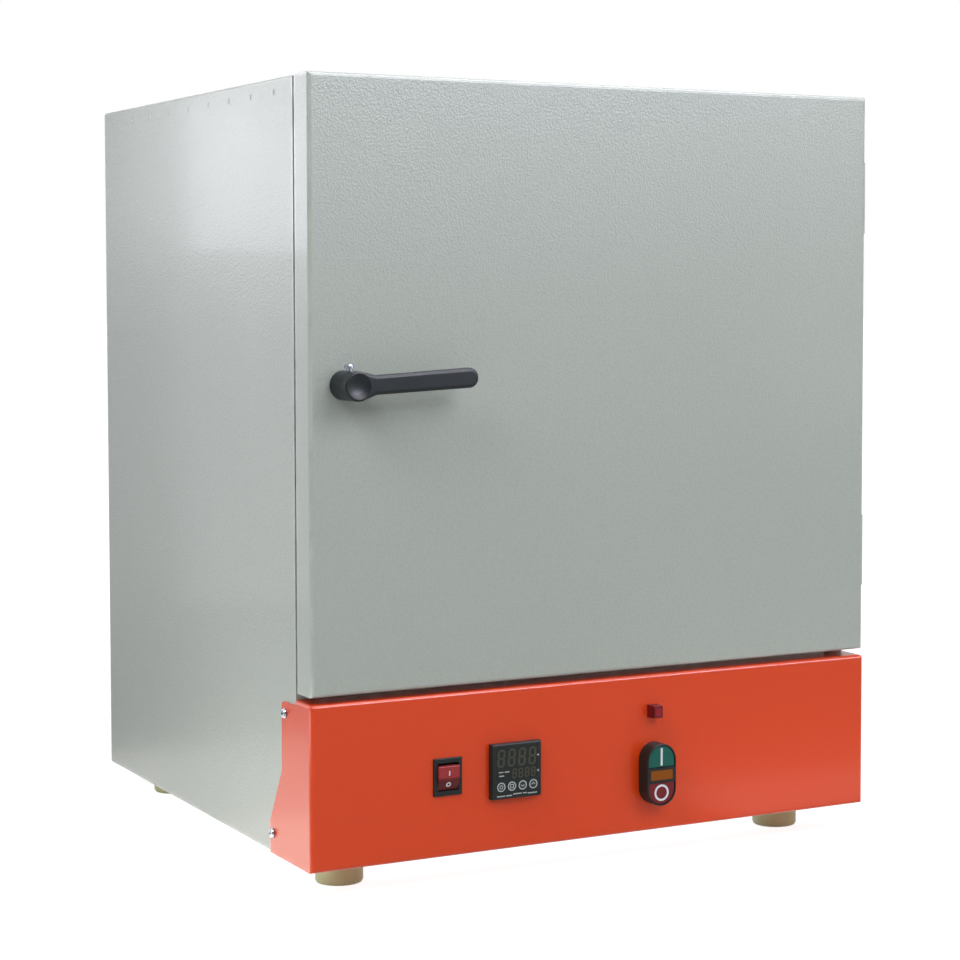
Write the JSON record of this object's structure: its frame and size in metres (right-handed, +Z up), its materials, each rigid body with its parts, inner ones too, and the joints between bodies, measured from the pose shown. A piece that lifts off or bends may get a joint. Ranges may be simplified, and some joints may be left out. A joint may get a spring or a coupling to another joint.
{
  "type": "dry heat sterilizer",
  "caption": "Benchtop dry heat sterilizer: painted steel cabinet with an insulated chamber, a side-hung door with a lever latch, and a control panel under the door.",
  "frame": {"origin": "on the plane that the feet stand on, midway between the sides and midway between the door's face and the rear cover", "axes": "+Z up, the door faces -Y, +X to the viewer's right"},
  "size_m": [0.5748, 0.567, 0.6884],
  "materials": {
    "body_paint": "grey-green textured powder coat",
    "panel_paint": "orange-red gloss powder coat",
    "zinc_steel": "zinc plated sheet",
    "stainless": "brushed stainless sheet",
    "mineral_wool": "pressed mineral wool",
    "silicone": "soft silicone",
    "foot_plastic": "satin moulded",
    "black_plastic": "satin moulded",
    "lever_plastic": "smooth moulded",
    "display": "tinted window",
    "key_plastic": "smooth moulded",
    "red_plastic": "translucent red",
    "green_cap": "smooth moulded",
    "red_cap": "smooth moulded",
    "amber": "translucent amber",
    "chrome": "polished plating",
    "steel": "turned steel",
    "heater_steel": "heat-stained sheath",
    "motor_steel": "dark enamel",
    "aluminium": "extruded",
    "grey_plastic": "moulded"
  },
  "bodies": {
    "cabinet": {"outer_shell": "body_paint", "base_plate": "zinc_steel", "feet": "foot_plastic", "foot_screws": "steel", "front_frame": "stainless", "strike_plate": "steel", "partition_plate": "zinc_steel", "chamber": "stainless", "rear_plate": "zinc_steel", "rear_cover": "body_paint", "rear_cover_screws": "steel", "appliance_inlet": "black_plastic", "rear_baffle": "stainless", "ring_heater": "heater_steel", "fan_motor": "motor_steel", "temperature_probe": "stainless", "vent_tube": "stainless", "din_rail": "zinc_steel", "contactor": "grey_plastic", "heat_sink": "aluminium", "solid_state_relay": "black_plastic", "terminal_block": "grey_plastic", "control_panel": "panel_paint", "control_panel_screws": "chrome", "rocker_housing": "black_plastic", "controller_housing": "black_plastic", "controller_window": "display", "pilot_lamp": "red_plastic", "button_housing": "black_plastic", "pilot_lens": "amber", "contact_block": "grey_plastic", "hinge_leaves_cabinet": "body_paint", "hinge_pins": "steel", "insulation_left": "mineral_wool", "insulation_right": "mineral_wool", "insulation_top": "mineral_wool", "insulation_bottom": "mineral_wool", "insulation_rear": "mineral_wool", "shelf_rail_left": "stainless", "shelf_rail_right": "stainless", "shelf_lower": "stainless", "shelf_upper": "stainless"},
    "door": {"door_skin": "body_paint", "door_inner_panel": "stainless", "door_insulation": "mineral_wool", "door_seal": "silicone", "hinge_leaves_door": "body_paint", "spindle_sleeve": "steel"},
    "handle": {"handle_lever": "lever_plastic", "handle_screw": "chrome", "latch_spindle": "steel", "latch_tongue": "steel"},
    "rocker": {"rocker": "red_plastic"},
    "start_button": {"start_button": "green_cap"},
    "stop_button": {"stop_button": "red_cap"},
    "fan": {"fan_wheel": "stainless"},
    "controller_key_1": {"controller_key_1": "key_plastic"},
    "controller_key_2": {"controller_key_2": "key_plastic"},
    "controller_key_3": {"controller_key_3": "key_plastic"},
    "controller_key_4": {"controller_key_4": "key_plastic"}
  },
  "joints": [
    {"name": "door_hinge", "type": "hinge", "parent": "cabinet", "child": "door", "pos_m": [0.2854, -0.23175, 0.4307], "axis": [0, 0, 1], "range_deg": [0, 110]},
    {"name": "handle_turn", "type": "hinge", "parent": "door", "child": "handle", "pos_m": [-0.25, -0.263, 0.4317], "axis": [0, 1, 0], "range_deg": [0, 90]},
    {"name": "rocker_tilt", "type": "hinge", "parent": "cabinet", "child": "rocker", "pos_m": [-0.1553, -0.26, 0.0958], "axis": [-1, 0, 0], "range_deg": [0, 24]},
    {"name": "start_press", "type": "slide", "parent": "cabinet", "child": "start_button", "axis": [0, 1, 0], "range_m": [0, 0.004], "stiffness_N_per_m": 400, "springref_m": -0.001},
    {"name": "stop_press", "type": "slide", "parent": "cabinet", "child": "stop_button", "axis": [0, 1, 0], "range_m": [0, 0.004], "stiffness_N_per_m": 400, "springref_m": -0.001},
    {"name": "fan_spin", "type": "hinge", "parent": "cabinet", "child": "fan", "pos_m": [0, 0.15, 0.4295], "axis": [0, 1, 0], "continuous": true},
    {"name": "key_1_press", "type": "slide", "parent": "cabinet", "child": "controller_key_1", "axis": [0, 1, 0], "range_m": [0, 0.0005], "stiffness_N_per_m": 1000, "springref_m": -0.0005},
    {"name": "key_2_press", "type": "slide", "parent": "cabinet", "child": "controller_key_2", "axis": [0, 1, 0], "range_m": [0, 0.0005], "stiffness_N_per_m": 1000, "springref_m": -0.0005},
    {"name": "key_3_press", "type": "slide", "parent": "cabinet", "child": "controller_key_3", "axis": [0, 1, 0], "range_m": [0, 0.0005], "stiffness_N_per_m": 1000, "springref_m": -0.0005},
    {"name": "key_4_press", "type": "slide", "parent": "cabinet", "child": "controller_key_4", "axis": [0, 1, 0], "range_m": [0, 0.0005], "stiffness_N_per_m": 1000, "springref_m": -0.0005}
  ]
}
